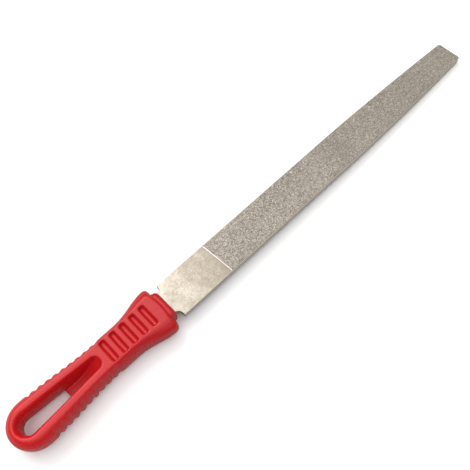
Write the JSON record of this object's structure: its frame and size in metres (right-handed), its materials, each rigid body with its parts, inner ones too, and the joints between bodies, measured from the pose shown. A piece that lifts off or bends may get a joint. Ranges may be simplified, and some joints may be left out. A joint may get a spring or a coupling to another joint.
{
  "type": "diamond-coated flat hand rasp",
  "caption": "Flat hand rasp: a long steel blade with plated diamond grit on both faces and a bare heel, driven into a red moulded handle with grip pockets, ribs and a hanging slot.",
  "frame": {"origin": "middle of the tool's box: halfway along its length, on its long axis, on the blade's mid-plane, which is also the handle's parting plane", "axes": "+X along the tool from the handle's butt to the blade's tip, +Y across the blade, +Z out of the top working face"},
  "size_m": [0.362, 0.03, 0.016],
  "materials": {
    "plated_steel": "satin nickel plate over ground steel, warm and faintly mottled",
    "diamond_coat": "coarse diamond grit half buried in matt nickel",
    "bright_nickel": "bright plated build-up at the mask edge",
    "red_plastic": "semi-gloss moulded, faint orange peel"
  },
  "bodies": {
    "root": {"blade": "plated_steel", "top_coat": "diamond_coat", "bottom_coat": "diamond_coat", "top_stop_line": "bright_nickel", "bottom_stop_line": "bright_nickel", "handle": "red_plastic"}
  },
  "joints": []
}
